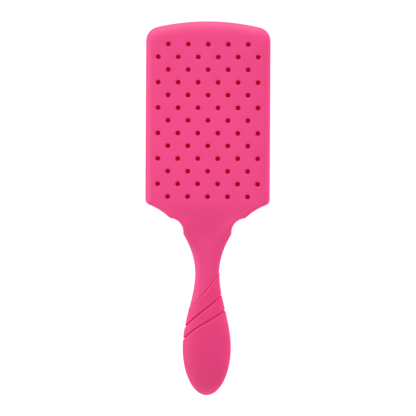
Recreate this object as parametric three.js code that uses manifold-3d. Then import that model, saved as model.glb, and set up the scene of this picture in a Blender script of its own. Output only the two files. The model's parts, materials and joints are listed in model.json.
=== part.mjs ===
// Paddle hair brush, lying on its bristle tips with the vented back facing up.
// Millimetres. X is across the head, Y runs along the brush with the handle towards -Y,
// and Z rises from the bristle tips (z = 0) to the back of the head.
import * as THREE from 'three';
import { mergeVertices } from 'three/addons/utils/BufferGeometryUtils.js';
import Module from 'manifold-3d';

const wasm = await Module();
wasm.setup();

// ---- Driving dimensions ---------------------------------------------------------------------

const GAP = 0.3; // running or fitting gap between neighbouring pieces
const PAST = 1; // how far a cutter runs past the face that it opens
const OUT = 40; // beyond the handle on every side, for cutters that go right through it

const brush = { length: 267, tip: 133.5 }; // tip is the Y of the head's far edge

const head = {
  halfWidth: 44.4,
  nearEdge: 2, // Y of the edge on the handle's side
  crownRadius: 161, // the far edge is a shallow arc
  farCorner: 10.1,
  nearCorner: 4.5,
  innerCorner: 4, // smallest corner radius of anything inside the head
  front: 20.5, // Z of the rim round the cushion
  inside: 30, // Z of the inner face of the back wall
  back: 32.2, // Z of the outer face of the back wall
};

// The rolled edge between the back and the side walls: [drop from the back, side inset, far inset].
const backRoll = [[5.2, 0, 0], [2.6, 0.9, 2.2], [0.8, 2.6, 7], [0, 5.2, 13.6]];
const rimRound = 0.6; // small chamfer at the front rim
const cornerSteps = 6; // facets of each of the head outline's arcs

const vent = { diameter: 3.5, rows: 13, rowPitch: 9.06, pitch: 14.25, middle: 62.62, sides: 8 };

// The handle in plan: scalloped shoulders, a narrow waist, a full bulge and an elliptical butt.
// [y, half width] up the shoulder: the scallop's end, the middle of the slope, its top, and its root.
const shoulder = { kink: [-7.2, 27], slope: [-1.55, 34.5], top: [2.55, 42.1], root: [7.6, 42] };
const scallop = { x: 27.4, y: -17.4, radius: 10.2, sides: 28 };
const waist = { y: -47, halfWidth: 8.5, flare: 0.0106 };
const bulge = { y: -99.9, halfWidth: 17.2 };
const neckTop = -18.1; // Y where the scallops end and the neck begins

// The handle's cross-section is a superellipse: its power falls from the shoulder to this Y.
const section = { shoulderPower: 5, neckPower: 2.3, neckY: -30, corners: 20 };
// Y of the rings that the handle is lofted over, and, past the bulge, their angles round the butt.
const stations = [
  7.6, 2.55, -1.55, -7.2, -12, -18.1, -25, -32, -40, -47, -54, -61, -68, -75, -82, -90, -99.9,
];
const buttAngles = [0.3, 0.58, 0.84, 1.08, 1.28, 1.44, 1.555];

// Side view of the handle: top and bottom heights where the curve turns.
const backLine = { head: 32.1, neck: 28.9, neckY: -26, bulge: 31.2 };
const frontLine = { head: 20.5, neck: 18.6, bulge: 13.2 };
const buttLength = brush.length - brush.tip + bulge.y; // from the bulge to the butt's end

// The sleeve's slanted upper edge, a parabola across the back, and the lines of its two grooves.
const sleeve = {
  edge: [[8.6, -45.3], [-1.85, -64.2], [-12.3, -70.4]],
  wall: 2,
  proud: 0.4, // how far its upper edge stands above the neck
  proudEnd: -75, // Y where it has faded out
  grooves: [[[11, -61.3], [-16, -85.3]], [[13, -72.5], [-17, -91.5]]],
  grooveWidth: 0.9,
  grooveDepth: 0.8,
  grooveRunOut: 10, // how far a groove's cutter runs past its ends
  grooveFloorCorners: 16,
};

// The head's own plastic runs on under the sleeve, lightened by pockets between ribs.
const core = {
  top: -32, // Y where it comes out of the neck
  wall: 2.2,
  floor: 2.2,
  ribs: [-62, -74, -86, -98, -110, -121],
  ribWidth: 2,
};

// The cushion is clamped at its flange, between a ledge in the head and the frame.
const ledge = { inset: 4.2, z: 24 };
const rebate = { inset: 2.2 };
const flange = { thickness: 1.4, inset: 2.6 };
const frame = { inset: 2.5, window: 5.8, front: 20.3 };
const snap = { length: 9, height: 0.7, rise: 0.9, reach: 0.5, places: [18, 48, 78, 108] };
const cushion = {
  plateau: 17, // Z of its front face
  thickness: 1.6,
  // The front's rolled shoulder: [rise from the plateau, inset from the head's outline].
  roll: [[0, 8.6], [0.8, 7.3], [2.2, 6.5], [4, 6.2]],
  innerInset: 0.5, // how much further in the back of the shoulder lies than its front
  sideWall: 0.6,
};

const strips = { count: 10, pins: 12 };
const bar = { width: 3, height: 1.5, overhang: 0.6 };
const pin = { shaft: 0.62, root: 0.75, ball: 1, ballHeight: 1.1, sides: 5, hole: 2.1, cutter: 6 };

// ---- Solids ---------------------------------------------------------------------------------

function solidOf(geometry) {
  const bare = geometry.clone();
  bare.deleteAttribute('normal');
  bare.deleteAttribute('uv');
  const merged = mergeVertices(bare, 1e-4);
  return new wasm.Manifold(new wasm.Mesh({
    numProp: 3,
    vertProperties: new Float32Array(merged.attributes.position.array),
    triVerts: new Uint32Array(merged.index.array),
  }));
}

function geometryOf(solid) {
  const mesh = solid.getMesh();
  const geometry = new THREE.BufferGeometry();
  geometry.setAttribute('position', new THREE.BufferAttribute(mesh.vertProperties, 3));
  geometry.setIndex(new THREE.BufferAttribute(mesh.triVerts, 1));
  geometry.computeVertexNormals();
  return geometry;
}

// A closed skin over a row of rings with equal point counts, each end capped from its middle.
function loft(rings) {
  const count = rings[0].length;
  const points = rings.flat();
  const faces = [];
  for (let i = 0; i + 1 < rings.length; i++) {
    for (let j = 0; j < count; j++) {
      const a = i * count + j;
      const b = i * count + (j + 1) % count;
      faces.push(a, b, b + count, a, b + count, a + count);
    }
  }
  for (const [ring, outward] of [[0, false], [rings.length - 1, true]]) {
    const middle = new THREE.Vector3();
    rings[ring].forEach((p) => middle.addScaledVector(p, 1 / count));
    points.push(middle);
    const centre = points.length - 1;
    for (let j = 0; j < count; j++) {
      const a = ring * count + j;
      const b = ring * count + (j + 1) % count;
      faces.push(...(outward ? [a, b, centre] : [b, a, centre]));
    }
  }
  const geometry = new THREE.BufferGeometry().setFromPoints(points);
  geometry.setIndex(faces);
  return solidOf(geometry);
}

function slab(shape, bottom, top) {
  const geometry = new THREE.ExtrudeGeometry(shape, { depth: top - bottom, bevelEnabled: false });
  return solidOf(geometry.translate(0, 0, bottom));
}

function box(size, centre) {
  return solidOf(new THREE.BoxGeometry(...size).translate(...centre));
}

function upright(radius, bottom, top, x, y, sides) {
  const geometry = new THREE.CylinderGeometry(radius, radius, top - bottom, sides);
  return solidOf(geometry.rotateX(Math.PI / 2).translate(x, y, (top + bottom) / 2));
}

const joined = (solids) => wasm.Manifold.union(solids);

// ---- Outlines -------------------------------------------------------------------------------

// The head's outline moved inwards: inset at the sides and near edge, farInset at the far edge.
function headOutline(inset, farInset = inset) {
  const side = head.halfWidth - inset;
  const near = head.nearEdge + inset;
  const farCorner = Math.max(head.farCorner - inset, head.innerCorner);
  const nearCorner = inset ? Math.max(head.nearCorner - inset, head.innerCorner) : head.nearCorner;
  const crownY = brush.tip - farInset - head.crownRadius;
  const cornerX = side - farCorner;
  const cornerY = crownY + Math.sqrt((head.crownRadius - farCorner) ** 2 - cornerX ** 2);
  const turn = Math.atan2(cornerY - crownY, cornerX);
  const arc = (x, y, radius, from, to) => (
    new THREE.EllipseCurve(x, y, radius, radius, from, to).getPoints(cornerSteps));
  return [
    ...arc(side - nearCorner, near + nearCorner, nearCorner, -Math.PI / 2, 0),
    ...arc(cornerX, cornerY, farCorner, 0, turn),
    ...arc(0, crownY, head.crownRadius, turn, Math.PI - turn).slice(1, -1),
    ...arc(-cornerX, cornerY, farCorner, Math.PI - turn, Math.PI),
    ...arc(nearCorner - side, near + nearCorner, nearCorner, Math.PI, 1.5 * Math.PI),
  ];
}

const headPath = (inset) => new THREE.Shape(headOutline(inset));
const headRing = (z, inset, farInset) => headOutline(inset, farInset)
  .map((p) => new THREE.Vector3(p.x, p.y, z));

const smooth = (t) => (1 - Math.cos(Math.PI * THREE.MathUtils.clamp(t, 0, 1))) / 2;
const between = (a, b, y, from, to) => a + (b - a) * smooth((y - from) / (to - from));

// Half width, back height and front height of the handle at y, all pushed out by grow.
function handleAt(y, grow = 0) {
  let half = waist.halfWidth + waist.flare * (y - waist.y) ** 2;
  if (y > neckTop) {
    const neck = waist.halfWidth + waist.flare * (neckTop - waist.y) ** 2;
    const points = [[neckTop, neck], ...Object.values(shoulder)];
    const next = Math.max(1, points.findIndex((p) => p[0] >= y));
    const [low, high] = [points[next - 1], points[next]];
    half = THREE.MathUtils.mapLinear(y, low[0], high[0], low[1], high[1]);
  } else if (y < waist.y) {
    half = between(waist.halfWidth, bulge.halfWidth, y, waist.y, bulge.y);
  }
  let top = between(backLine.head, backLine.neck, y, shoulder.top[0], backLine.neckY);
  let bottom = between(frontLine.head, frontLine.neck, y, shoulder.kink[0], waist.y);
  if (y < waist.y) {
    top = between(backLine.neck, backLine.bulge, y, waist.y, bulge.y);
    bottom = between(frontLine.neck, frontLine.bulge, y, waist.y, bulge.y);
  }
  const past = (bulge.y - y) / (buttLength + grow);
  const taper = y < bulge.y ? Math.sqrt(Math.max(0, 1 - past * past)) : 1;
  const middle = (top + bottom) / 2;
  return {
    half: (half + grow) * taper,
    top: middle + ((top - bottom) / 2 + grow) * taper,
    bottom: middle - ((top - bottom) / 2 + grow) * taper,
  };
}

// A rounded cross-section, boxy at the shoulders and nearly oval along the handle.
function handleRing(y, grow, corners) {
  const { half, top, bottom } = handleAt(y, typeof grow === 'function' ? grow(y) : grow);
  const square = between(section.neckPower, section.shoulderPower, y, section.neckY, shoulder.top[0]);
  const power = (v) => Math.sign(v) * Math.abs(v) ** (2 / square);
  return Array.from({ length: corners }, (_, i) => {
    const a = (2 * Math.PI * (i + 0.5)) / corners;
    const height = (top + bottom) / 2 + ((top - bottom) / 2) * power(Math.sin(a));
    return new THREE.Vector3(half * power(Math.cos(a)), y, height);
  });
}

// The handle from y = start to its butt, with closer rings towards the rounded end.
function handleSolid(start, grow = 0, corners = section.corners) {
  const most = typeof grow === 'function' ? 0 : grow;
  const butt = buttAngles.map((a) => bulge.y - (buttLength + most) * Math.sin(a));
  const rings = [...stations, ...butt].filter((y) => y <= start);
  return loft(rings.map((y) => handleRing(y, grow, corners)));
}

// The plan area on one side of the sleeve's slanted edge, moved along Y by shift.
function sleeveSide(above, shift) {
  const [a, b, c] = sleeve.edge.map(([x, y]) => new THREE.Vector2(x, y + shift));
  const out = (from, to) => to.clone().sub(from).setLength(OUT).add(to);
  const curve = new THREE.QuadraticBezierCurve(a, b, c).getPoints(8);
  const limit = above ? OUT : -brush.length;
  const shape = new THREE.Shape([out(b, a), ...curve, out(b, c)]);
  shape.lineTo(-2 * OUT, limit);
  shape.lineTo(2 * OUT, limit);
  return slab(shape, 0, OUT);
}

const ventPlaces = Array.from({ length: vent.rows }, (_, row) => {
  const holes = row % 2 ? 6 : 5;
  const y = vent.middle + (row - (vent.rows - 1) / 2) * vent.rowPitch;
  return Array.from({ length: holes }, (_, i) => [(i - (holes - 1) / 2) * vent.pitch, y]);
}).flat();

// The strips lie half a vent pitch apart, and each row of pins midway between two rows of vents.
const stripX = (i) => (i - (strips.count - 1) / 2) * (vent.pitch / 2);
const pinY = (i) => vent.middle + (i - (strips.pins - 1) / 2) * vent.rowPitch;

// ---- Sub-parts ------------------------------------------------------------------------------

function snapBoxes(gap) {
  const inner = head.halfWidth - frame.inset - PAST;
  const outer = head.halfWidth - frame.inset + snap.reach + gap;
  const z = frame.front + snap.rise;
  const size = [outer - inner, snap.length + 2 * gap, snap.height + 2 * gap];
  return snap.places.flatMap((y) => [-1, 1].map((s) => box(size, [(s * (inner + outer)) / 2, y, z])));
}

function headShell() {
  const rings = [headRing(head.front, rimRound), headRing(head.front + rimRound, 0)];
  backRoll.forEach(([drop, side, far]) => rings.push(headRing(head.back - drop, side, far)));
  return loft(rings);
}

function corePockets() {
  const grow = -sleeve.wall - core.wall;
  return core.ribs.slice(1).map((end, i) => {
    const from = core.ribs[i] - core.ribWidth / 2;
    const to = end + core.ribWidth / 2;
    const [a, b] = [handleAt(from, grow), handleAt(to, grow)];
    const plan = [[-a.half, from], [-b.half, to], [b.half, to], [a.half, from]];
    const floor = Math.max(a.bottom, b.bottom) + core.floor;
    return slab(new THREE.Shape(plan.map(([x, y]) => new THREE.Vector2(x, y))), floor, OUT);
  });
}

function paddleBody() {
  const neck = handleSolid(shoulder.root[0]).intersect(sleeveSide(true, GAP / 2));
  const inner = handleSolid(core.top, -sleeve.wall);
  const scallops = [-1, 1].map((s) => (
    upright(scallop.radius, 0, OUT, s * scallop.x, scallop.y, scallop.sides)));
  const outside = joined([headShell(), neck, inner.subtract(joined(corePockets()))]);
  const cavity = slab(headPath(ledge.inset), head.front - PAST, head.inside);
  const seat = slab(headPath(rebate.inset), head.front - PAST, ledge.z);
  const vents = ventPlaces.map(([x, y]) => (
    upright(vent.diameter / 2, head.inside - PAST, head.back + PAST, x, y, vent.sides)));
  return outside.subtract(joined([cavity, seat, ...scallops, ...vents, ...snapBoxes(GAP)]));
}

function gripSleeve() {
  const proud = (y) => between(0, sleeve.proud, y, sleeve.proudEnd, waist.y);
  const outside = handleSolid(core.top, proud).intersect(sleeveSide(false, -GAP / 2));
  const floorOf = (y) => proud(y) - sleeve.grooveDepth;
  const floors = handleSolid(core.top, floorOf, sleeve.grooveFloorCorners);
  const grooves = sleeve.grooves.map(([right, left]) => {
    const [a, b] = [new THREE.Vector2(...right), new THREE.Vector2(...left)];
    const along = b.clone().sub(a).normalize();
    const across = new THREE.Vector2(-along.y, along.x).multiplyScalar(sleeve.grooveWidth / 2);
    a.addScaledVector(along, -sleeve.grooveRunOut);
    b.addScaledVector(along, sleeve.grooveRunOut);
    const corners = [a.clone().add(across), b.clone().add(across)];
    corners.push(b.clone().sub(across), a.clone().sub(across));
    return slab(new THREE.Shape(corners), 0, OUT);
  });
  const hollow = handleSolid(core.top, -sleeve.wall + GAP);
  return outside.subtract(joined(grooves).subtract(floors)).subtract(hollow);
}

function airCushion() {
  const face = (lift, inset) => cushion.roll.map(([rise, roll]) => (
    headRing(cushion.plateau + rise + lift, roll + inset)));
  const seat = ledge.z - GAP - flange.thickness;
  const edge = cushion.roll.at(-1)[1];
  const outer = [...face(0, 0), headRing(seat, edge), headRing(seat, flange.inset)];
  outer.push(headRing(seat + flange.thickness, flange.inset));
  const inner = face(cushion.thickness, cushion.innerInset);
  inner.push(headRing(ledge.z, edge + cushion.sideWall));
  const holes = Array.from({ length: strips.count * strips.pins }, (_, i) => {
    const x = stripX(Math.floor(i / strips.pins));
    const y = pinY(i % strips.pins);
    return box([pin.hole, pin.hole, pin.cutter], [x, y, cushion.plateau]);
  });
  return loft(outer).subtract(loft(inner)).subtract(joined(holes));
}

function cushionFrame() {
  const shape = headPath(frame.inset);
  shape.holes.push(headPath(frame.window));
  const top = ledge.z - GAP - flange.thickness - GAP;
  const ring = slab(shape, frame.front, top);
  return joined([ring, ...snapBoxes(0)]);
}

function bristleStrip() {
  const root = cushion.plateau + cushion.thickness + GAP;
  const profile = [
    [0, 0],
    [pin.ball * 0.6, pin.ballHeight * 0.15],
    [pin.ball, pin.ballHeight],
    [pin.shaft, 2 * pin.ballHeight],
    [pin.root, root + bar.height / 2],
    [0, root + bar.height / 2],
  ].map(([r, z]) => new THREE.Vector2(r, z));
  const shape = solidOf(new THREE.LatheGeometry(profile, pin.sides).rotateX(Math.PI / 2));
  const pins = Array.from({ length: strips.pins }, (_, i) => shape.translate([0, pinY(i), 0]));
  const length = (strips.pins - 1) * vent.rowPitch + 2 * (pin.root + bar.overhang);
  const middle = (pinY(0) + pinY(strips.pins - 1)) / 2;
  const rail = box([bar.width, length, bar.height], [0, middle, root + bar.height / 2]);
  return joined([rail, ...pins]);
}

// ---- Materials and assembly -----------------------------------------------------------------

const finish = (color, roughness) => new THREE.MeshStandardMaterial({ color, roughness, metalness: 0 });
const softTouch = finish('#f04c89', 0.55);
const gripRubber = finish('#e0457c', 0.7);
const cushionRubber = finish('#ec4c88', 0.65);
const framePlastic = finish('#e84583', 0.5);
const nylon = finish('#f25a93', 0.3);

const group = new THREE.Group();

function add(name, solid, material) {
  const mesh = new THREE.Mesh(geometryOf(solid), material);
  mesh.name = name;
  group.add(mesh);
  return mesh;
}

add('paddle_body', paddleBody(), softTouch);
add('grip_sleeve', gripSleeve(), gripRubber);
add('air_cushion', airCushion(), cushionRubber);
add('cushion_frame', cushionFrame(), framePlastic);
const strip = bristleStrip();
for (let i = 0; i < strips.count; i++) {
  const name = `bristle_strip_${String(i + 1).padStart(2, '0')}`;
  add(name, strip, nylon).position.x = stripX(i);
}

export default group;
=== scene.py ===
"""Looks of the paddle hair brush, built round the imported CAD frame.

Shapes are worked out in millimetres in the part's own frame and made in metres: X is across
the head, Y runs along the brush with the handle towards -Y, and Z rises from the pin tips to
the back of the head.
"""
import json
import math

import bmesh
import bpy
import numpy as np
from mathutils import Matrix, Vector
from mathutils.geometry import delaunay_2d_cdt


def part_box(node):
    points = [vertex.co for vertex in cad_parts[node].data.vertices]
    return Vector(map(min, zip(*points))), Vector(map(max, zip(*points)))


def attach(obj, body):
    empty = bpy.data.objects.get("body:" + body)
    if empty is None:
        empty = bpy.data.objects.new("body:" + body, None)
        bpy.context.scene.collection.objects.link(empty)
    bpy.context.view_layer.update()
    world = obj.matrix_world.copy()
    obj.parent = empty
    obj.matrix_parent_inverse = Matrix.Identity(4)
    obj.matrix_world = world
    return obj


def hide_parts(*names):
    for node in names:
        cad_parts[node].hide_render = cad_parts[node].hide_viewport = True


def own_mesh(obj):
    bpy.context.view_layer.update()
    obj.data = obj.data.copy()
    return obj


MM = 0.001

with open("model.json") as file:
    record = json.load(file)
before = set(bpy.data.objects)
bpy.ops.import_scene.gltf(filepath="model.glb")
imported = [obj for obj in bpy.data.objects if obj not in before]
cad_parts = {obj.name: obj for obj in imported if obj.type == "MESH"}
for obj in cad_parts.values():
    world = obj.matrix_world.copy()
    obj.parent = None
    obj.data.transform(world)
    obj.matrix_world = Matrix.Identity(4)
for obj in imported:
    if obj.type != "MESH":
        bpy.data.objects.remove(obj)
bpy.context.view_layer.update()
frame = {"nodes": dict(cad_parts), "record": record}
scene = bpy.context.scene


def corners(node):
    """Lowest and highest corner of a CAD node, in mm."""
    low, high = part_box(node)
    return np.array(low) / MM, np.array(high) / MM


body_high = corners("paddle_body")[1]
sleeve_low = corners("grip_sleeve")[0]
cushion_low, cushion_high = corners("air_cushion")
frame_low, frame_high = corners("cushion_frame")

# ---- Camera ---------------------------------------------------------------------------------

CAMERA_HEIGHT = 4.0  # metres above the back of the head
SEEN_WIDTH = 296.6  # mm across the picture at that height
CAMERA_PLACE = (0.36, 0.26)  # X and Y in mm
CAMERA_TURN = 0.309  # degrees


def add_camera():
    data = bpy.data.cameras.new("camera")
    data.sensor_width = 36
    data.lens = data.sensor_width * CAMERA_HEIGHT / (SEEN_WIDTH * MM)
    camera = bpy.data.objects.new("camera", data)
    scene.collection.objects.link(camera)
    x, y = CAMERA_PLACE
    camera.location = (x * MM, y * MM, body_high[2] * MM + CAMERA_HEIGHT)
    camera.rotation_euler = (0, 0, math.radians(CAMERA_TURN))
    scene.camera = camera


add_camera()
scene.view_settings.view_transform = "Standard"

# ---- Driving dimensions, mm -----------------------------------------------------------------

TIP = body_high[1]  # Y of the head's far edge
BUTT = sleeve_low[1]  # Y of the handle's end
HEAD_HALF = body_high[0]
HEAD_NEAR = 2.0  # Y of the head's edge on the handle's side
CROWN_RADIUS = 161.0  # of the far edge's curve
FAR_CORNER = 10.1  # radius of the head's corners at its far edge
NEAR_CORNER = 4.5  # and at its near edge
INNER_CORNER = 4.0  # the least radius of a corner that is moved in
HEAD_FRONT = 20.5  # Z of the tray's rim
HEAD_INSIDE = 30.0  # Z of the tray's ceiling
HEAD_BACK = body_high[2]
BACK_ROLL = 5.2  # width and height of the rounded edge of the back
FAR_STRETCH = 1.9  # how much wider that roll is at the far edge
SHOULDER_EDGE_ROLL = 2.4  # how wide and high the roll is along the shoulders' slopes
SHOULDER_EDGE_SPAN = (0.0, 9.0)  # Y between which it grows from that to the full size
RIM_ROLL = 0.6
BACK_CROWN = 1.1  # how far the back falls away at the head's sides
CROWN_START = 27.0  # X where it begins to
CROWN_POWER = 1.6
CROWN_SPREAD = (-4.0, 8.0)  # Y between which this crown grows to its full height
FAR_CROWN = 1.1  # how far the back falls away at the far edge
FAR_CROWN_START = 104.0  # Y where it begins to

SHOULDER = (42.1, 2.55)  # where the slope meets the head's near corner
SHOULDER_HOLLOW = 0.95  # how far the slope below it dips under a straight line
SCALLOP = (27.15, -17.0)
SCALLOP_RADIUS = 9.96
SCALLOP_ARC = (187.0, 92.0)  # degrees, from the neck round to the shoulder's slope
NECK_TOP = -18.3  # Y where the neck meets the scallops
WAIST = (8.5, -47.0)  # half the width, and Y, where the neck is narrowest
NECK_FLARE = 0.0106  # the neck widens by this times the square of the distance from its waist
BULGE = (17.2, -99.9)  # half the width, and Y, where the grip is widest
GRIP_SWELL = 0.93  # below 1, the grip widens sooner below the waist
BUTT_LENGTH = BULGE[1] - BUTT
SECTION_POWER = 2.3  # of the handle's section, where 2 is an ellipse
HEAD_BEGINS = 12.0  # Y above which insets are measured from the head's outline
NECK_BEGINS = -38.0  # Y above which they are measured from the right outline, and not across
FLAT_TO_ROUND = (-10.0, -35.0)  # Y between which the flat head becomes the oval handle
EDGE_TO_SECTION = 14.0  # length of neck over which rounded edges become an oval section
CORE_TOP = -40.0  # Y below which the core can show inside the sleeve
CORE_GAP = 0.1  # between the core and the sleeve

# Z at the neck and the bulge, and Y where the surface leaves the head's height ("fall").
BACK_HEIGHTS = {"fall": 4.4, "neck": 28.1, "neck_y": -23.0, "bulge": 31.2}
FRONT_HEIGHTS = {"fall": -7.2, "neck": 18.6, "bulge": 13.2}
FLANK_LIFT = 0.95  # the scoop behind the head is this much shallower at its flanks

# Insets are from the head's outline.
LEDGE_INSET = 3.4
LEDGE_Z = 24.0
REBATE_INSET = 2.2
NECK_END_FILLET = 0.3
CEILING_FILLET = 0.4
REBATE_FILLET = 0.3
OPENING_FILLET = 0.35
FRAME_WINDOW = 5.8
FRAME_ROUND = 0.5
SNAP_REACH = 0.5  # how far the CAD frame's snap tabs stand out from it
CUSHION_EDGE = 6.2
CUSHION_ROLL = 2.8
CUSHION_RISE = 4.0
MEMBRANE = 1.6
SIDE_WALL = 0.5
FLANGE_THICK = 1.4
FLANGE_INSET = 2.6
FLANGE_BEVEL = 0.3
CUSHION_CROWN = 0.5
CUSHION_CROWN_SPAN = (34.8, 56.0)  # half the width and length that bulge

SLEEVE_WALL = 2.0
SLEEVE_OVERLAP = 0.3  # the sleeve is moulded over the end of the neck
# The sleeve's upper edge across the back, from right to left.
SLEEVE_EDGE = [(8.4, -46.0), (4.0, -53.3), (-1.5, -60.4), (-6.0, -64.9), (-12.3, -70.1)]
SLEEVE_EDGE_ENDS = (-13.5, 9.3)  # X past which the edge runs on level
LIP_HEIGHT = 0.95  # how far the sleeve stands above the neck, just past its edge
LIP_ROUND = 2.0  # the length over which it rounds up to that
LIP_FADE = 14.0  # the length over which it sinks to about a third of that
LIP_LEFT = 0.15  # how much of the lip is left at the left of the back
LIP_LEFT_SPAN = (-11.0, 1.0)  # X between which it grows from that to the full height
LIP_SIDE = 0.45  # how much of it is left where the edge turns down the grip's right side
LIP_SIDE_SPAN = (3.0, 8.0)  # X between which it falls to that
NECK_STEP = 0.3  # how far the neck dips before the sleeve
NECK_STEP_WIDTH = 0.7
# Lines of the two grooves across the back, from right to left.
GROOVES = (
    [(9.9, -62.2), (2.6, -68.8), (-6.0, -75.6), (-14.8, -83.5)],
    [(12.6, -72.6), (2.6, -79.4), (-7.3, -85.3), (-16.3, -92.4)],
)
GROOVE_DEPTH = 1.15
GROOVE_WALLS = (0.45, 0.2, -0.2, -0.5)  # where its walls start and end, across the groove
GROOVE_LIP = 0.45  # how deep its lower edge is rounded
GROOVE_LIP_WIDTH = 3.0
GROOVE_SPACING = 12.0  # about how far the grooves are from the sleeve's edge and each other
SLEEVE_SIDES = 160

VENT_RADIUS = 1.75
VENT_LIP = 0.45  # rounding of a vent's outer edge
VENT_INNER_LIP = 0.1
VENT_ROWS = 13
ROW_PITCH = 9.06  # along Y
VENT_PITCH = 14.25  # along X
VENT_MIDDLE = 62.62  # Y of the middle row
VENT_SIDES = 28

STRIPS = [name for name in sorted(frame["nodes"]) if name.startswith("bristle_strip")]
PINS = 12
PIN_SHAFT = 0.62  # radii of a pin's shaft, root and ball tip, and of its hole
PIN_ROOT = 0.75
PIN_BALL = 1.0
PIN_HOLE = 0.9
PIN_FLARE = 12.0  # Z where a pin starts to widen to its root
PIN_SIDES = 16
BAR_HEIGHT = 1.5
BAR_BEVEL = 0.3
# Section of the rubber collar round each pin: (radius, rise from the cushion's face).
COLLAR = (
    (1.7, 0.3), (1.65, 0), (1.45, -0.3), (1.1, -0.75),
    (0.9, -0.95), (0.72, -0.95), (0.66, -0.8), (0.66, 0.3),
)

# ---- Outlines -------------------------------------------------------------------------------

def smooth(t):
    """Eases from 0 to 1 as t goes from 0 to 1."""
    return (1 - np.cos(np.pi * np.clip(t, 0, 1))) / 2


def between(a, b, at, start, end):
    """Eases from a to b as at goes from start to end."""
    return a + (b - a) * smooth((at - start) / (end - start))


def arc(centre, radius, start, end, count):
    """Points on a circle from one angle to another, in degrees."""
    angles = np.radians(np.linspace(start, end, count))
    return np.stack([centre[0] + radius * np.cos(angles), centre[1] + radius * np.sin(angles)], 1)


def right_outline():
    """Right half of the plan outline as (x, y) from the butt up past the head's near corner."""
    turn = np.linspace(-np.pi / 2, 0, 90)
    butt = np.stack([BULGE[0] * np.cos(turn), BULGE[1] + BUTT_LENGTH * np.sin(turn)], 1)
    y = np.arange(BULGE[1] + 0.5, WAIST[1], 0.5)
    share = ((y - WAIST[1]) / (BULGE[1] - WAIST[1])) ** GRIP_SWELL
    grip = np.stack([WAIST[0] + (BULGE[0] - WAIST[0]) * smooth(share), y], 1)
    y = np.arange(WAIST[1], NECK_TOP, 0.5)
    neck = np.stack([WAIST[0] + NECK_FLARE * (y - WAIST[1]) ** 2, y], 1)
    scoop = arc(SCALLOP, SCALLOP_RADIUS, *SCALLOP_ARC, 46)
    along = np.array(SHOULDER) - scoop[-1]
    across = np.array([-along[1], along[0]]) / np.hypot(*along)
    t = np.linspace(0, 1, 40)[1:, None]
    slope = scoop[-1] + t * along + 4 * t * (1 - t) * SHOULDER_HOLLOW * across
    corner_at = np.array([HEAD_HALF - NEAR_CORNER, HEAD_NEAR + NEAR_CORNER])
    to_slope = SHOULDER - corner_at
    start = math.degrees(math.atan2(to_slope[1], to_slope[0]))
    corner = arc(corner_at, NEAR_CORNER, start, 0, 24)[1:]
    side = np.stack([np.full(60, HEAD_HALF), corner_at[1] + np.arange(1, 61) * 0.5], 1)
    line = np.concatenate([butt, grip, neck, scoop, slope, corner, side])
    for _ in range(3):  # eases the kinks
        line[1:-1] = (line[:-2] + 2 * line[1:-1] + line[2:]) / 4
    return line


OUTLINE = right_outline()


def half_at(y):
    """Half the width of the handle or neck at y."""
    return np.interp(y, OUTLINE[:, 1], OUTLINE[:, 0])


def lateral_distance(x, y):
    """How far inside the right outline a point with x >= 0 lies."""
    start, along = OUTLINE[:-1], np.diff(OUTLINE, axis=0)
    length = (along ** 2).sum(1)
    distance = np.empty(len(x))
    batch = 4000  # keeps the arrays small
    for low in range(0, len(x), batch):
        part = slice(low, low + batch)
        to = np.stack([x[part], y[part]], 1)[:, None] - start
        t = np.clip((to * along).sum(2) / length, 0, 1)
        distance[part] = np.sqrt(((to - t[..., None] * along) ** 2).sum(2).min(1))
    return np.where(x < half_at(y), distance, -distance)


def far_distance(x, y, inset, far_inset):
    """How far inside the head's sides and far edge a point with x >= 0 lies, once they are moved in."""
    side = HEAD_HALF - inset
    corner = np.maximum(FAR_CORNER - inset, INNER_CORNER)
    crown_y = TIP - far_inset - CROWN_RADIUS
    corner_x = side - corner
    corner_y = crown_y + np.sqrt((CROWN_RADIUS - corner) ** 2 - corner_x ** 2)
    turn = np.arctan2(corner_y - crown_y, corner_x)
    dx, dy = x - corner_x, y - corner_y
    angle = np.arctan2(dy, dx)
    plain = np.minimum(side - x, CROWN_RADIUS - np.hypot(x, y - crown_y))
    return np.where((angle > 0) & (angle < turn), corner - np.hypot(dx, dy), plain)


def roll_level(x, y):
    """The inset at which the head's outline, moved in faster at its far edge, meets a point."""
    low, high = np.full(len(x), -3.0), np.full(len(x), 9.0)
    for _ in range(24):
        middle = (low + high) / 2
        inside = far_distance(x, y, middle, FAR_STRETCH * middle) > 0
        low, high = np.where(inside, middle, low), np.where(inside, high, middle)
    return (low + high) / 2


def tray_distance(x, y, inset):
    """How far inside the tray's wall, at that inset, a point with x >= 0 lies."""
    side, near = HEAD_HALF - inset, HEAD_NEAR + inset
    dx, dy = x - (side - INNER_CORNER), near + INNER_CORNER - y
    corner = INNER_CORNER - np.hypot(dx, dy)
    close = np.where((dx > 0) & (dy > 0), corner, np.minimum(side - x, y - near))
    return np.minimum(close, far_distance(x, y, inset, inset))


def head_ring(inset, z):
    """Points round the head's outline moved in by inset, at height z."""
    side, near = HEAD_HALF - inset, HEAD_NEAR + inset
    far = max(FAR_CORNER - inset, INNER_CORNER)
    close = max(NEAR_CORNER - inset, INNER_CORNER)
    crown = (0, TIP - inset - CROWN_RADIUS)
    corner_x = side - far
    corner_y = crown[1] + math.sqrt((CROWN_RADIUS - far) ** 2 - corner_x ** 2)
    turn = math.degrees(math.atan2(corner_y - crown[1], corner_x))
    right = np.concatenate([
        arc((side - close, near + close), close, -90, 0, 13),
        np.linspace((side, near + close), (side, corner_y), 30)[1:-1],
        arc((corner_x, corner_y), far, 0, turn, 17),
        arc(crown, CROWN_RADIUS, turn, 90, 25)[1:],
    ])
    left = right[-2::-1] * (-1, 1)
    near_side = np.linspace(left[-1], right[0], 24)[1:-1]
    ring = np.concatenate([right, left, near_side])
    return np.column_stack([ring, np.full(len(ring), z)])


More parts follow.
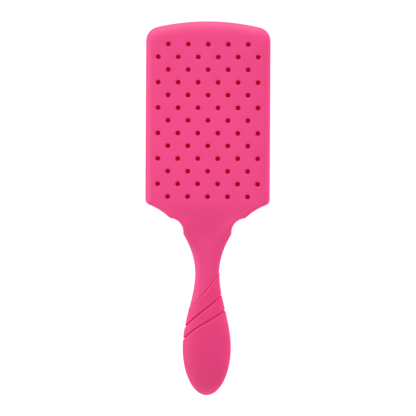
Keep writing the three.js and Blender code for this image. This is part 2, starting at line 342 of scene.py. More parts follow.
def line_through(points):
    """y at x, as a polynomial through the points."""
    xs, ys = np.array(points).T
    return np.poly1d(np.polyfit(xs, ys, len(points) - 1))


def sleeve_edge(x):
    """Y of the sleeve's slanted upper edge."""
    return line_through(SLEEVE_EDGE)(np.clip(x, *SLEEVE_EDGE_ENDS))


def vent_places():
    """Rows of six vents between rows of five."""
    places = []
    for row in range(VENT_ROWS):
        count = 6 if row % 2 else 5
        y = VENT_MIDDLE + (row - (VENT_ROWS - 1) / 2) * ROW_PITCH
        places += [((i - (count - 1) / 2) * VENT_PITCH, y) for i in range(count)]
    return np.array(places)


def pin_ys():
    """Y of each pin of a strip."""
    return VENT_MIDDLE + (np.arange(PINS) - (PINS - 1) / 2) * ROW_PITCH


# ---- Meshes ---------------------------------------------------------------------------------

def make_piece(name, points, faces, material, body, slot, nodes=(), second=None, marked=None):
    """A smooth-shaded piece from points in mm, riding on a body.
    The second material is for the marked faces or, with none marked, for the ones turned up."""
    mesh = bpy.data.meshes.new(name)
    mesh.from_pydata((np.asarray(points) * MM).tolist(), [], faces)
    work = bmesh.new()
    work.from_mesh(mesh)
    bmesh.ops.recalc_face_normals(work, faces=work.faces)
    work.to_mesh(mesh)
    work.free()
    mesh.polygons.foreach_set("use_smooth", [True] * len(mesh.polygons))
    mesh.materials.append(material)
    if second:
        mesh.materials.append(second)
        for face in mesh.polygons:
            face.material_index = int(face.index in marked if marked else face.normal.z > 0.1)
    piece = bpy.data.objects.new(name, mesh)
    scene.collection.objects.link(piece)
    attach(piece, body)
    if nodes:
        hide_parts(*nodes)
    return piece


def skin(rings, start_pole=None, end_pole=None, wrap=False):
    """Points and quads over a row of closed rings, with a fan at each pole that is given."""
    rings = np.asarray(rings, float)
    rows, count = rings.shape[:2]
    points = rings.reshape(-1, 3)
    index = np.arange(rows * count).reshape(rows, count)
    after = np.roll(index, -1, 0) if wrap else index[1:]
    before = index if wrap else index[:-1]
    quads = [before, np.roll(before, -1, 1), np.roll(after, -1, 1), after]
    faces = np.stack(quads, -1).reshape(-1, 4).tolist()
    for pole, ring in ((start_pole, index[0]), (end_pole, index[-1])):
        if pole is not None:
            points = np.vstack([points, pole])
            faces += [[int(a), int(b), len(points) - 1] for a, b in zip(ring, np.roll(ring, -1))]
    return points, faces


def together(parts):
    """One list of points and faces from several."""
    points, faces = [], []
    for part_points, part_faces in parts:
        offset = sum(len(p) for p in points)
        points.append(part_points)
        faces += [[i + offset for i in face] for face in part_faces]
    return np.vstack(points), faces


def lathe(profile, place, sides):
    """A turned piece about a vertical axis at place. Its (radius, z) profile starts and ends on
    the axis, or else it closes on itself."""
    rings = [circle_points(place, r, z, sides) for r, z in profile if r > 0]
    if profile[0][0] > 0:
        return skin(rings, wrap=True)
    return skin(rings, (*place, profile[0][1]), (*place, profile[-1][1]))


def circle_points(place, radius, z, sides):
    """Points round a level circle."""
    angles = np.arange(sides) * 2 * np.pi / sides
    ring = place + radius * np.stack([np.cos(angles), np.sin(angles)], 1)
    return np.column_stack([ring, np.full(sides, z)])


def grid_points(xs, ys):
    """(x, y) of every crossing of a grid."""
    return np.stack(np.meshgrid(xs, ys, indexing="ij"), -1).reshape(-1, 2)


def fill_flat(points, border, edges, z, holes, radius, sides, spread):
    """Fills the flat area inside some border points with triangles that leave round holes.
    edges joins places in border, and spread holds (x, y) of extra points for the sheet.
    Returns all the points, the triangles, and the numbers of each hole's points."""
    rings = np.concatenate([circle_points(place, radius, z, sides)[:, :2] for place in holes])
    apart = np.sqrt(((spread[:, None] - holes) ** 2).sum(2)).min(1)
    least_gap = 0.6
    added = np.concatenate([rings, spread[apart > radius + least_gap]])
    inputs = np.concatenate([points[border][:, :2], added])
    edges = [tuple(e) for e in edges]
    for k in range(len(holes)):
        first = len(border) + k * sides
        edges += [(first + j, first + (j + 1) % sides) for j in range(sides)]
    found = delaunay_2d_cdt([Vector(p) for p in inputs], edges, [], 1, 1e-6)
    number = np.concatenate([border, len(points) + np.arange(len(added))])
    triangles = []
    for face in found[2]:
        ids = [found[3][v][0] for v in face]
        middle = inputs[ids].mean(0)
        if np.hypot(*(holes - middle).T).min() > radius * 0.98:
            triangles.append(number[ids].tolist())
    hole_points = len(points) + np.arange(len(rings)).reshape(len(holes), sides)
    points = np.vstack([points, np.column_stack([added, np.full(len(added), z)])])
    return points, triangles, hole_points


# ---- Surface nets ---------------------------------------------------------------------------

def cells_round(at, axis):
    """The four cells round each grid edge that starts at a corner and runs along an axis."""
    first, second = (k for k in range(3) if k != axis)
    for step in ((0, 0), (0, 1), (1, 1), (1, 0)):
        cell = at.copy()
        cell[:, first] -= step[0]
        cell[:, second] -= step[1]
        yield tuple(cell.T)


def surface_net(values, xs, ys, zs):
    """Points and quads over the zero level of values on a grid; it is negative inside."""
    inside = values < 0
    shape = tuple(n - 1 for n in values.shape)
    total, count = np.zeros(shape + (3,)), np.zeros(shape)
    axes = (xs, ys, zs)
    crossings = []
    for axis in range(3):
        low = [slice(None)] * 3
        high = [slice(None)] * 3
        low[axis], high[axis] = slice(None, -1), slice(1, None)
        a, b = values[tuple(low)], values[tuple(high)]
        change = inside[tuple(low)] != inside[tuple(high)]
        at = np.argwhere(change)
        share = a[change] / (a[change] - b[change])
        point = np.stack([axes[k][at[:, k]] for k in range(3)], 1)
        point[:, axis] += share * (axes[axis][at[:, axis] + 1] - axes[axis][at[:, axis]])
        crossings.append((at, inside[tuple(low)][change]))
        for cell in cells_round(at, axis):
            np.add.at(total, cell, point)
            np.add.at(count, cell, 1)
    used = count > 0
    number = np.full(shape, -1)
    number[used] = np.arange(used.sum())
    points = total[used] / count[used][:, None]
    quads = []
    for axis, (at, flip) in enumerate(crossings):
        quad = np.stack([number[cell] for cell in cells_round(at, axis)], 1)
        quads.append(np.where((flip ^ (axis == 1))[:, None], quad, quad[:, ::-1]))
    return points, np.concatenate(quads)


def settle(points, field, rounds=3, reach=0.35):
    """Moves the points onto the zero level of field, by at most reach in each round."""
    step = 0.02
    for _ in range(rounds):
        x, y, z = points.T
        here = field(x, y, z)
        slope = np.stack([
            field(x + step, y, z) - here,
            field(x, y + step, z) - here,
            field(x, y, z + step) - here,
        ], 1) / step
        steep = (slope ** 2).sum(1)
        move = -here[:, None] * slope / np.maximum(steep, 0.05)[:, None]
        size = np.sqrt((move ** 2).sum(1))
        move *= np.minimum(1, reach / np.maximum(size, 1e-9))[:, None]
        points = points + move
    return points


def soft_max(a, b, radius):
    """The greater of two fields, with the edge between them rounded."""
    overlap = np.maximum(radius - np.abs(a - b), 0)
    return np.maximum(a, b) + overlap ** 2 / (4 * radius)


# ---- Paddle body ----------------------------------------------------------------------------

def handle_heights(y):
    """Back and front height of the handle at y."""
    neck, bulge = BACK_HEIGHTS["neck"], BACK_HEIGHTS["bulge"]
    back = np.where(
        y > WAIST[1],
        between(HEAD_BACK, neck, y, BACK_HEIGHTS["fall"], BACK_HEIGHTS["neck_y"]),
        between(neck, bulge, y, WAIST[1], BULGE[1]),
    )
    neck, bulge = FRONT_HEIGHTS["neck"], FRONT_HEIGHTS["bulge"]
    front = np.where(
        y > WAIST[1],
        between(HEAD_FRONT, neck, y, FRONT_HEIGHTS["fall"], WAIST[1]),
        between(neck, bulge, y, WAIST[1], BULGE[1]),
    )
    return back, front


def plan_of(x, y):
    """What the body's shape depends on across the plan, for points of any x and y."""
    step = NECK_STEP * lip_share(x)
    x = np.abs(x)
    half = half_at(y)
    back, front = handle_heights(y)
    thick = (back - front) / 2
    level = half - x
    head = y >= HEAD_BEGINS
    level[head] = roll_level(x[head], y[head])
    neck = (y < HEAD_BEGINS) & (y > NECK_BEGINS)
    level[neck] = lateral_distance(x[neck], y[neck])
    past = np.minimum((y - BULGE[1]) / BUTT_LENGTH, 0)
    lean = np.where(past < 0, np.hypot(x / BULGE[0], past), x / half)
    to_neck = between(0, 1, y, *FLAT_TO_ROUND)
    to_handle = smooth((NECK_TOP - y) / EDGE_TO_SECTION)
    lift = FLANK_LIFT * (1 - to_neck) * np.minimum(x / half, 1) ** 2
    back = back + lift * (HEAD_BACK - back)
    plan = {"back": back, "front": front, "power": 2 + (SECTION_POWER - 2) * to_neck}
    back_roll = between(SHOULDER_EDGE_ROLL, BACK_ROLL, y, *SHOULDER_EDGE_SPAN)
    for side, roll in (("back", back_roll), ("front", RIM_ROLL)):
        width = roll + (half - roll) * to_neck
        near = np.maximum(1 - level / width, 0)
        plan[side + "_near"] = near + (lean - near) * to_handle
        plan[side + "_roll"] = roll + (thick - roll) * to_neck
    core_past = np.minimum((y - BULGE[1]) / (BUTT_LENGTH - SLEEVE_WALL), 0)
    in_butt = np.hypot(x / (BULGE[0] - SLEEVE_WALL), core_past)
    plan["core_near"] = np.where(past < 0, in_butt, x / (half - SLEEVE_WALL - CORE_GAP))
    plan["core_thick"] = thick - SLEEVE_WALL - CORE_GAP
    plan["middle"] = (back + front) / 2
    plan["step"] = step
    plan["handle"] = y < CORE_TOP
    plan["ledge"] = tray_distance(x, y, LEDGE_INSET)
    plan["rebate"] = tray_distance(x, y, REBATE_INSET)
    return plan


def body_field(plan, beyond, z):
    """Negative inside the body. beyond is how far a point lies past the neck's end."""
    power = plan["power"]
    rise = np.maximum(1 - (plan["back"] - z) / plan["back_roll"], 0)
    upper = (plan["back_near"] ** power + rise ** power) ** (1 / power) - 1
    fall = np.maximum(1 - (z - plan["front"]) / plan["front_roll"], 0)
    lower = (plan["front_near"] ** power + fall ** power) ** (1 / power) - 1
    shell = np.maximum(upper * plan["back_roll"], lower * plan["front_roll"])
    shell = shell + plan["step"] * np.exp(-((beyond + SLEEVE_OVERLAP) / NECK_STEP_WIDTH) ** 2)
    shell = soft_max(shell, beyond, NECK_END_FILLET)
    depth = np.abs(z - plan["middle"]) / plan["core_thick"]
    core = ((plan["core_near"] ** power + depth ** power) ** (1 / power) - 1) * plan["core_thick"]
    shell = np.where(plan["handle"], np.minimum(shell, core), shell)
    cavity = soft_max(-plan["ledge"], z - HEAD_INSIDE, CEILING_FILLET)
    seat = soft_max(-plan["rebate"], z - LEDGE_Z, REBATE_FILLET)
    return soft_max(shell, -np.minimum(cavity, seat), OPENING_FILLET)


def lip_share(x):
    """How much of the step at the sleeve's edge is left at x: it fades towards the left."""
    return between(LIP_LEFT, 1, x, *LIP_LEFT_SPAN)


def back_drop(x, y, z):
    """How far the crown of the back lowers a point."""
    across = np.clip((np.abs(x) - CROWN_START) / (HEAD_HALF - CROWN_START), 0, 1)
    along = np.clip((y - FAR_CROWN_START) / (TIP - FAR_CROWN_START), 0, 1)
    depth = np.clip((z - LEDGE_Z) / (HEAD_BACK - LEDGE_Z), 0, 1)
    to_sides = BACK_CROWN * across ** CROWN_POWER * between(0, 1, y, *CROWN_SPREAD)
    return depth * (to_sides + FAR_CROWN * along ** 2)


def beyond_neck(x, y):
    """How far a point lies past the neck's end, under the sleeve."""
    return sleeve_edge(x) - SLEEVE_OVERLAP - y


def body_at(x, y, z):
    """The body's field at points of any x, y and z."""
    return body_field(plan_of(x, y), beyond_neck(x, y), z)


def body_net():
    """The body as a surface net, on a grid that is finest where its shape changes most."""
    xs = np.arange(-45.25, 45.5, 0.5)
    ys = np.concatenate([
        np.arange(-134, -75, 1.2), np.arange(-75, -40, 0.6), np.arange(-40, 12, 0.5),
        np.arange(12, 104, 1.5), np.arange(104, 134.6, 0.5),
    ])
    zs = np.arange(12.43, 33, 0.5)
    flat_x, flat_y = grid_points(xs, ys).T
    plan = {k: v[:, None] for k, v in plan_of(flat_x, flat_y).items()}
    beyond = beyond_neck(flat_x, flat_y)[:, None]
    values = body_field(plan, beyond, zs[None]).reshape(len(xs), len(ys), len(zs))
    points, quads = surface_net(values, xs, ys, zs)
    return settle(points, body_at), quads


def open_flat(points, quads, flat, z, radius):
    """Swaps the quads whose points are all in flat for a sheet with the vents' rings.
    Returns the points, the quads that are left, the sheet's faces and the rings' points."""
    gone = flat[quads].all(1)
    count = len(points)

    def keys(group):
        pairs = np.sort(np.stack([group, np.roll(group, -1, 1)], -1).reshape(-1, 2), 1)
        return pairs[:, 0] * count + pairs[:, 1]

    border = np.intersect1d(keys(quads[gone]), keys(quads[~gone]))
    edges = np.stack([border // count, border % count], 1)
    loop = np.unique(edges)
    edges = np.searchsorted(loop, edges)
    grid_x = np.arange(-15, 16) * VENT_PITCH / 6
    spread = grid_points(grid_x, VENT_MIDDLE + np.arange(-24, 25) * ROW_PITCH / 4)
    border_gap = 1.5
    spread = spread[flat_margin(spread, z) > border_gap]
    holes = vent_places()
    points, faces, rings = fill_flat(points, loop, edges, z, holes, radius, VENT_SIDES, spread)
    return points, quads[~gone], faces, rings


def flat_margin(plan_points, z):
    """How far inside the flat of the back, or of the tray's inner wall, points lie."""
    x, y = np.abs(plan_points[:, 0]), plan_points[:, 1]
    if z == HEAD_BACK:
        return np.minimum(roll_level(x, y) - BACK_ROLL, y - BACK_HEIGHTS["fall"]) - 0.1
    return tray_distance(x, y, LEDGE_INSET) - CEILING_FILLET - 0.02


def vent_walls(upper_rings, lower_rings, start):
    """Bores between the vents' rings in the back and in the tray's inner wall. Their points are
    numbered from start."""
    profile = []
    for angle in np.radians(np.linspace(0, 90, 5))[1:]:
        radius = VENT_RADIUS + VENT_LIP * (1 - math.sin(angle))
        profile.append((radius, HEAD_BACK - VENT_LIP * (1 - math.cos(angle))))
    for angle in np.radians([0, 45]):
        radius = VENT_RADIUS + VENT_INNER_LIP * (1 - math.cos(angle))
        profile.append((radius, HEAD_INSIDE + VENT_INNER_LIP * (1 - math.sin(angle))))
    points, faces = [], []
    for place, top, bottom in zip(vent_places(), upper_rings, lower_rings):
        rows = [top]
        for radius, z in profile:
            rows.append(start + np.arange(VENT_SIDES))
            points.append(circle_points(place, radius, z, VENT_SIDES))
            start += VENT_SIDES
        rows.append(bottom)
        for a, b in zip(rows[:-1], rows[1:]):
            quads = np.stack([a, np.roll(a, -1), np.roll(b, -1), b], 1)
            faces += quads.tolist()
    return np.concatenate(points), faces


def paddle_body(material):
    """The shell with its vents, and the core inside the sleeve."""
    points, quads = body_net()
    sheets, rings = [], []
    for z, lip in ((HEAD_BACK, VENT_LIP), (HEAD_INSIDE, VENT_INNER_LIP)):
        flat = (np.abs(points[:, 2] - z) < 0.01) & (flat_margin(points[:, :2], z) > 0)
        points, quads, faces, found = open_flat(points, quads, flat, z, VENT_RADIUS + lip)
        sheets += faces
        rings.append(found)
    added, walls = vent_walls(*rings, len(points))
    points = np.vstack([points, added])
    points[:, 2] -= back_drop(*points.T)
    faces = quads.tolist() + sheets + walls
    return make_piece("paddle_shell", points, faces, material, "root", "soft_touch_body", ["paddle_body"])


# ---- Grip sleeve ----------------------------------------------------------------------------

def section(angles):
    """Points round the handle's oval section, from -1 to 1 across and up."""
    power = 2 / SECTION_POWER
    cos, sin = np.cos(angles), np.sin(angles)
    across = np.sign(cos) * np.abs(cos) ** power
    up = np.sign(sin) * np.abs(sin) ** power
    return across, up


def handle_ring(row, grow, angles):
    """Points round the handle, grown by grow, where the line y = row(x) crosses it."""
    across, up = section(angles)
    x = 10 * across
    for _ in range(40):
        y = row(x)
        x = (x + (half_at(y) + grow) * across) / 2
    back, front = handle_heights(y)
    z = (back + front) / 2 + ((back - front) / 2 + grow) * up
    return np.column_stack([x, y, z])


def butt_ring(turn, grow, angles):
    """Points round the handle's butt, grown by grow, at an angle from its widest place."""
    across, up = section(angles)
    back, front = BACK_HEIGHTS["bulge"], FRONT_HEIGHTS["bulge"]
    x = (BULGE[0] + grow) * math.cos(turn) * across
    z = (back + front) / 2 + ((back - front) / 2 + grow) * math.cos(turn) * up
    y = BULGE[1] - (BUTT_LENGTH + grow) * math.sin(turn)
    return np.column_stack([x, np.full(len(angles), y), z])


def groove_depth(offset):
    """Depth at a distance from a groove's middle, towards the head.
    Its wall is steep on the head's side and has a soft lip on the other."""
    top, floor_start, floor_end, bottom = GROOVE_WALLS
    upper = smooth((top - offset) / (top - floor_start))
    lower = smooth((offset - bottom) / (floor_end - bottom))
    past = np.clip(1 + np.minimum(offset, 0) / GROOVE_LIP_WIDTH, 0, 1)
    lip = GROOVE_LIP * past ** 3
    return float(upper * (lip + (GROOVE_DEPTH - lip) * lower))


def bulge_line(x):
    """The line round the handle where it is widest."""
    return np.full_like(x, BULGE[1])


def mixed(a, b, t):
    """The line a share t of the way from line a to line b."""
    return lambda x: a(x) * (1 - t) + b(x) * t


def shifted(line, by):
    """The line moved along Y."""
    return lambda x: line(x) + by


def sleeve_rows():
    """Rows round the sleeve from its edge to the bulge: (y of x, depth, distance from the edge)."""
    runs = (0, 0.05, 0.15, 0.35, 0.6, 0.9, 1.25, 1.6, 2.0, 2.6, 3.4)
    rows = [(shifted(sleeve_edge, -run), 0.0, run) for run in runs]
    offsets = [1.6, 0.9, 0.6, 0.45, 0.39, 0.32, 0.26, 0.2, 0.0, -0.2, -0.27, -0.35, -0.43, -0.5]
    offsets += [-0.59, -0.71, -0.87, -1.1, -1.5, -2.0, -2.5, -3.0]
    previous, distance = rows[-1][0], runs[-1]
    for groove in GROOVES:
        line = line_through(groove)
        slant = math.hypot(1, line.deriv()(0))
        first = shifted(line, offsets[0] * slant)
        for t in np.linspace(0, 1, 9)[1:-1]:
            rows.append((mixed(previous, first, t), 0.0, distance + GROOVE_SPACING * t))
        distance += GROOVE_SPACING
        for offset in offsets:
            rows.append((shifted(line, offset * slant), groove_depth(offset), distance))
        previous = rows[-1][0]
    far = 99.0  # nothing of the lip is left there
    return rows + [(mixed(previous, bulge_line, t), 0.0, far) for t in np.linspace(0, 1, 16)[1:]]


def sleeve_outside(rows, angles):
    """Rings over the sleeve, raised at its lip and sunk in its grooves, and down its edge."""
    rings, lifts = [], []
    for row, depth, distance in rows:
        ring = handle_ring(row, 0.0, angles)
        round_up = math.sqrt(1 - max(1 - distance / LIP_ROUND, 0) ** 2)
        lip = LIP_HEIGHT * round_up * math.exp(-distance / LIP_FADE)
        share = lip_share(ring[:, 0]) * between(1, LIP_SIDE, ring[:, 0], *LIP_SIDE_SPAN)
        rings.append(ring)
        lifts.append(lip * share - depth)
    for turn in np.linspace(0, np.pi / 2, 40)[1:-1]:
        rings.append(butt_ring(turn, 0.0, angles))
        lifts.append(np.zeros(len(angles)))
    grid, lift = np.array(rings), np.array(lifts)
    along = np.gradient(grid, axis=0)
    round_it = np.roll(grid, -1, 1) - np.roll(grid, 1, 1)
    normal = np.cross(round_it, along)
    normal /= np.linalg.norm(normal, axis=2)[..., None]
    centre = grid.mean(1)[:, None]
    normal *= np.sign(((grid - centre) * normal).sum(2))[..., None]
    outside = grid + normal * lift[..., None]
    edge = [outside[0] - normal[0] * depth for depth in (1.2, 0.8, 0.4)]
    return np.concatenate([edge, outside])


def sleeve_inside(angles):
    """Rings over the sleeve's hollow, from its upper edge to the butt."""
    rows = [shifted(sleeve_edge, -run) for run in (0, 6, 12, 18)]
    rows += [mixed(sleeve_edge, bulge_line, t) for t in np.linspace(0.4, 1, 9)]
    rings = [handle_ring(row, -SLEEVE_WALL, angles) for row in rows]
    turns = np.linspace(0, np.pi / 2, 16)[1:-1]
    return rings + [butt_ring(turn, -SLEEVE_WALL, angles) for turn in turns]


def grip_sleeve(material, painted_shade_material):
    """The rubber sleeve. The deepest faces of its grooves carry painted shade in a material of their own.
    """
    angles = np.arange(SLEEVE_SIDES) * 2 * np.pi / SLEEVE_SIDES
    rows = sleeve_rows()
    outside = sleeve_outside(rows, angles)
    rings = np.concatenate([sleeve_inside(angles)[::-1], outside])
    middle = (BACK_HEIGHTS["bulge"] + FRONT_HEIGHTS["bulge"]) / 2
    points, faces = skin(rings, (0, BUTT + SLEEVE_WALL, middle), (0, BUTT, middle))
    depths = np.array([depth for _, depth, _ in rows])
    # Rows of faces on the groove floors, which get the painted shade.
    deep = np.flatnonzero(np.minimum(depths[:-1], depths[1:]) > GROOVE_LIP + 0.1)
    first = len(rings) - len(outside) + 3  # the ring of the sleeve's upper edge
    marked = {int(first + i) * SLEEVE_SIDES + j for i in deep for j in range(SLEEVE_SIDES)}
    return make_piece("grip_sleeve_rubber", points, faces, material, "root", "grip_rubber",
                      ["grip_sleeve"], painted_shade_material, marked)


# ---- Cushion, frame and pins ----------------------------------------------------------------

def cushion_crown(x, y):
    """How far the middle of the cushion's face bulges forwards of its edge."""
    across = np.maximum(1 - (x / CUSHION_CROWN_SPAN[0]) ** 2, 0)
    along = np.maximum(1 - ((y - VENT_MIDDLE) / CUSHION_CROWN_SPAN[1]) ** 2, 0)
    return CUSHION_CROWN * across * along


def cushion_shoulder(edge, face, rise):
    """The (inset, z) curve from the cushion's face to its side."""
    turn = np.radians(np.linspace(0, 90, 10))
    return [(edge + CUSHION_ROLL * (1 - math.sin(a)), face + rise * (1 - math.cos(a))) for a in turn]


def cushion_profile(face):
    """(inset, z) from the edge of the face, out round the flange and back to the rear of the face."""
    seat, top, bevel = cushion_high[2] - FLANGE_THICK, cushion_high[2], FLANGE_BEVEL
    inner_edge = CUSHION_EDGE + SIDE_WALL
    flange = [
        (CUSHION_EDGE, seat - bevel), (CUSHION_EDGE - bevel, seat), (FLANGE_INSET + bevel, seat),
        (FLANGE_INSET, seat + bevel), (FLANGE_INSET, top - bevel), (FLANGE_INSET + bevel, top),
        (inner_edge, top),
    ]
    front = cushion_shoulder(CUSHION_EDGE, face, CUSHION_RISE)
    rear = cushion_shoulder(inner_edge, face + MEMBRANE, CUSHION_RISE - SIDE_WALL)
    return front + flange + rear[::-1]


def air_cushion(material, painted_shade_and_glow_side):
    """The rubber membrane: a flange, a rolled shoulder and a face with a hole for each pin."""
    face = cushion_low[2]
    profile = cushion_profile(face)
    points, faces = skin([head_ring(inset, z) for inset, z in profile])
    count = len(points) // len(profile)
    loop_edges = [(i, (i + 1) % count) for i in range(count)]
    holes = np.array([(x, y) for x in map(strip_x, STRIPS) for y in pin_ys()])
    spread_x = np.arange(-4, 5) * VENT_PITCH / 2
    spread = grid_points(spread_x, VENT_MIDDLE + np.arange(-11, 12) * ROW_PITCH / 2)
    rings = []
    for first, z in ((0, face), (len(points) - count, face + MEMBRANE)):
        border = first + np.arange(count)
        points, sheet, found = fill_flat(
            points, border, loop_edges, z, holes, PIN_HOLE, PIN_SIDES, spread)
        faces += sheet
        rings.append(found)
    for a, b in zip(*rings):
        faces += np.stack([a, np.roll(a, -1), np.roll(b, -1), b], 1).tolist()
    fade = np.clip((cushion_high[2] - points[:, 2]) / (cushion_high[2] - face), 0, 1)
    points[:, 2] -= cushion_crown(points[:, 0], points[:, 1]) * fade
    # The faces turned up into the air chamber get painted shade and a painted glow.
    piece = make_piece("cushion_membrane", points, faces, material, "root", "cushion_rubber",
                       ["air_cushion"], painted_shade_and_glow_side)
    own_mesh(piece)


def cushion_frame(material):
    """The ring that clamps the cushion's flange, with its edges rounded."""
    outer = HEAD_HALF - frame_high[0] + SNAP_REACH + FRAME_ROUND
    inner = FRAME_WINDOW - FRAME_ROUND
    low, high = frame_low[2] + FRAME_ROUND, frame_high[2] - FRAME_ROUND
    centres = ((outer, low), (inner, low), (inner, high), (outer, high))
    profile = []
    for centre, start in zip(centres, (180, 270, 0, 90)):
        profile += arc(centre, FRAME_ROUND, start, start + 90, 6).tolist()
    points, faces = skin([head_ring(inset, z) for inset, z in profile], wrap=True)
    make_piece("clamp_frame", points, faces, material, "root", "frame_plastic", ["cushion_frame"])


def strip_x(name):
    """X of a bristle strip's middle."""
    low, high = corners(name)
    return (low[0] + high[0]) / 2


def rounded_bar(low, high, bevel):
    """A bar with rounded upright corners and bevelled upper and lower edges."""
    rings = []
    for inset, z in ((bevel, low[2]), (0, low[2] + bevel), (0, high[2] - bevel), (bevel, high[2])):
        ring = []
        for sx, sy, start in ((1, 1, 0), (-1, 1, 90), (-1, -1, 180), (1, -1, 270)):
            x = (high[0] if sx > 0 else low[0]) - sx * 2 * bevel
            y = (high[1] if sy > 0 else low[1]) - sy * 2 * bevel
            ring.append(arc((x, y), 2 * bevel - inset, start, start + 90, 7))
        ring = np.concatenate(ring)
        rings.append(np.column_stack([ring, np.full(len(ring), z)]))
    middle = (low[:2] + high[:2]) / 2
    return skin(rings, (*middle, low[2]), (*middle, high[2]))


def bristle_strip(name, body, pins_material, rubber):
    """A root bar with its ball-tipped pins, and the rubber collars round them."""
    low, high = corners(name)
    x = strip_x(name)
    bar_low = np.array([low[0], low[1], high[2] - BAR_HEIGHT])
    parts = [rounded_bar(bar_low, high, BAR_BEVEL)]
    ball = arc((0, PIN_BALL), PIN_BALL, -75, 45, 9)
    neck = 2 * PIN_BALL - 0.05
    shaft = [(PIN_SHAFT + 0.03, neck), (PIN_SHAFT, neck + 0.35), (PIN_SHAFT, PIN_FLARE)]
    root = [(PIN_ROOT, bar_low[2] + 0.4), (0, bar_low[2] + 0.6)]
    profile = [(0, 0), *ball, *shaft, *root]
    collars = []
    for y in pin_ys():
        place = np.array([x, y])
        parts.append(lathe(profile, place, PIN_SIDES))
        base = cushion_low[2] - cushion_crown(x, y)
        collar = [(radius, base + rise) for radius, rise in COLLAR]
        collars.append(lathe(collar, place, PIN_SIDES))
    number = name[-2:]
    make_piece(f"pins_{number}", *together(parts), pins_material, body, "pin_nylon", [name])
    make_piece(f"pin_collars_{number}", *together(collars), rubber, body, "cushion_rubber")


# ---- Materials ------------------------------------------------------------------------------

SCATTER = (1, 0.12, 0.2)  # how far red, green and blue light spread inside, side by side
SCATTER_REACH = 0.002  # metres, for red
# Colour of the painted glow: an emission standing in for light that shows through the rubber.
PAINTED_GLOW_COLOUR = (1, 0, 0.05, 1)
UNEVENNESS = 0.03
PATCHES = 70  # patches of uneven colour in a metre
GRAIN_HEIGHT = 0.02  # mm


def moulded(name, colour, roughness, grain, grain_size, depth=0.0, shine=0.5, painted_glow=0.0):
    """Moulded plastic or rubber: a fine grain in the surface and a faint unevenness of colour.
    depth is how much light goes into it, shine how strongly its surface mirrors, and painted_glow how
    brightly it glows: a painted glow that stands in for light from behind showing through it."""
    material = bpy.data.materials.new(name)
    material.use_nodes = True
    tree = material.node_tree
    shader = tree.nodes["Principled BSDF"]
    shader.inputs["Roughness"].default_value = roughness
    shader.inputs["Specular IOR Level"].default_value = shine
    shader.inputs["Subsurface Weight"].default_value = depth
    shader.inputs["Subsurface Radius"].default_value = SCATTER
    shader.inputs["Subsurface Scale"].default_value = SCATTER_REACH
    shader.inputs["Emission Color"].default_value = PAINTED_GLOW_COLOUR
    shader.inputs["Emission Strength"].default_value = painted_glow
    place = tree.nodes.new("ShaderNodeTexCoord")

    def noise(scale, detail):
        node = tree.nodes.new("ShaderNodeTexNoise")
        node.inputs["Scale"].default_value = scale
        node.inputs["Detail"].default_value = detail
        tree.links.new(place.outputs["Object"], node.inputs["Vector"])
        return node.outputs["Fac"]

    mix = tree.nodes.new("ShaderNodeMix")
    mix.data_type = "RGBA"
    mix.inputs["A"].default_value = (*[c * (1 - UNEVENNESS) for c in colour], 1)
    mix.inputs["B"].default_value = (*[min(1, c * (1 + UNEVENNESS)) for c in colour], 1)
    tree.links.new(noise(PATCHES, 3), mix.inputs["Factor"])
    tree.links.new(mix.outputs["Result"], shader.inputs["Base Color"])
    bump = tree.nodes.new("ShaderNodeBump")
    bump.inputs["Strength"].default_value = grain
    bump.inputs["Distance"].default_value = GRAIN_HEIGHT * MM
    tree.links.new(noise(1 / (grain_size * MM), 2), bump.inputs["Height"])
    tree.links.new(bump.outputs["Normal"], shader.inputs["Normal"])
    return material


SOFT_TOUCH = moulded("soft_touch", (0.82, 0.044, 0.222), 0.56, 0.3, 0.25, depth=0.3, shine=0.72)
GRIP_RUBBER = moulded("grip_rubber", (0.8, 0.044, 0.205), 0.58, 0.4, 0.2, depth=0.5)
# Painted shade: the faces deep in the grooves get a darker, stronger red with little sheen. This stands
# in for light that has gone through the rubber and bounced about inside the grooves.
GROOVE_PAINTED_SHADE = moulded("groove_rubber_painted_shade", (0.88, 0.01, 0.19), 0.7, 0.4, 0.2, depth=0.5, shine=0.1)
CUSHION_RUBBER = moulded("cushion_rubber", (0.84, 0.055, 0.22), 0.5, 0.2, 0.3)
# Painted shade and painted glow: the air chamber's side of the membrane gets a dark base colour and a
# faint crimson emission. They stand in for the shade inside the chamber and for the light that comes
# through the thin walls of the head.
CHAMBER_PAINTED_SHADE_AND_GLOW = moulded("chamber_rubber_painted_shade_glow", (0.4, 0.002, 0.03), 0.7, 0.2, 0.3, painted_glow=0.29)
FRAME_PLASTIC = moulded("frame_plastic", (0.8, 0.05, 0.2), 0.4, 0.3, 0.3)
NYLON = moulded("nylon", (0.88, 0.07, 0.27), 0.25, 0.1, 0.4)

# ---- Assembly -------------------------------------------------------------------------------

paddle_body(SOFT_TOUCH)
grip_sleeve(GRIP_RUBBER, GROOVE_PAINTED_SHADE)
air_cushion(CUSHION_RUBBER, CHAMBER_PAINTED_SHADE_AND_GLOW)
cushion_frame(FRAME_PLASTIC)
for body, members in frame["record"]["behaviour"]["bodies"].items():
    for strip in members:
        if strip in STRIPS:
            bristle_strip(strip, body, NYLON, CUSHION_RUBBER)

# ---- Floor and light ------------------------------------------------------------------------


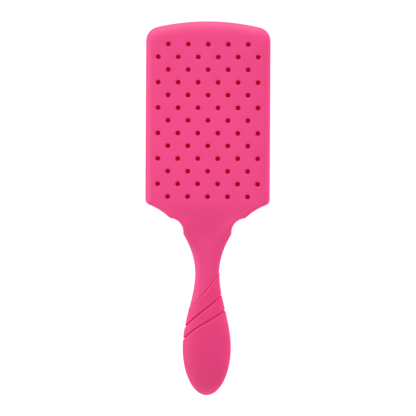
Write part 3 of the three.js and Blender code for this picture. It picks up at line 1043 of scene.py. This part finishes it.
def add_floor():
    """A pale floor at the pin tips."""
    mesh = bpy.data.meshes.new("floor")
    size = 3.0
    spots = [(-size, -size, 0), (size, -size, 0), (size, size, 0), (-size, size, 0)]
    mesh.from_pydata(spots, [], [(0, 1, 2, 3)])
    floor = bpy.data.objects.new("floor", mesh)
    scene.collection.objects.link(floor)
    material = bpy.data.materials.new("floor")
    material.use_nodes = True
    tree = material.node_tree
    shader = tree.nodes["Principled BSDF"]
    shader.inputs["Base Color"].default_value = (0.3, 0.3, 0.3, 1)
    shader.inputs["Roughness"].default_value = 0.9
    shader.inputs["Emission Color"].default_value = (1, 1, 1, 1)
    shader.inputs["Emission Strength"].default_value = 0.85
    # From underneath the floor is clear, so that a view from below shows the pins.
    side = tree.nodes.new("ShaderNodeNewGeometry")
    clear = tree.nodes.new("ShaderNodeBsdfTransparent")
    mix = tree.nodes.new("ShaderNodeMixShader")
    tree.links.new(side.outputs["Backfacing"], mix.inputs[0])
    tree.links.new(shader.outputs["BSDF"], mix.inputs[1])
    tree.links.new(clear.outputs["BSDF"], mix.inputs[2])
    tree.links.new(mix.outputs["Shader"], tree.nodes["Material Output"].inputs["Surface"])
    mesh.materials.append(material)
    floor.visible_glossy = False


def add_light(name, place, size, power, target=(0, 0, 0.03), mirrored=True):
    """A softbox, in metres and watts. One that isn't mirrored lights the brush but leaves no sheen."""
    data = bpy.data.lights.new(name, "AREA")
    data.shape = "RECTANGLE"
    data.size, data.size_y = size
    data.energy = power
    light = bpy.data.objects.new(name, data)
    scene.collection.objects.link(light)
    light.location = place
    light.visible_camera = False
    light.visible_glossy = mirrored
    light.rotation_euler = (Vector(target) - Vector(place)).to_track_quat("-Z", "Y").to_euler()


def add_lights():
    world = bpy.data.worlds.new("world")
    scene.world = world
    world.use_nodes = True
    world.node_tree.nodes["Background"].inputs["Color"].default_value = (1, 1, 1, 1)
    world.node_tree.nodes["Background"].inputs["Strength"].default_value = 0.28
    over_head = (-0.014, 0.064)
    add_light("head_softbox", (*over_head, 0.225), (0.22, 0.18), 0.14, (*over_head, 0.03), mirrored=False)
    add_light("far_softbox", (-0.15, 1.8, 0.66), (3.2, 1.1), 39)
    add_light("left_softbox", (-0.78, -0.12, 0.32), (1.0, 0.5), 3.2)
    add_light("right_softbox", (0.78, -0.1, 0.28), (1.0, 0.45), 3.4, mirrored=False)
    add_light("near_softbox", (0, -0.45, 0.14), (0.5, 0.15), 0.6)


add_floor()
add_lights()
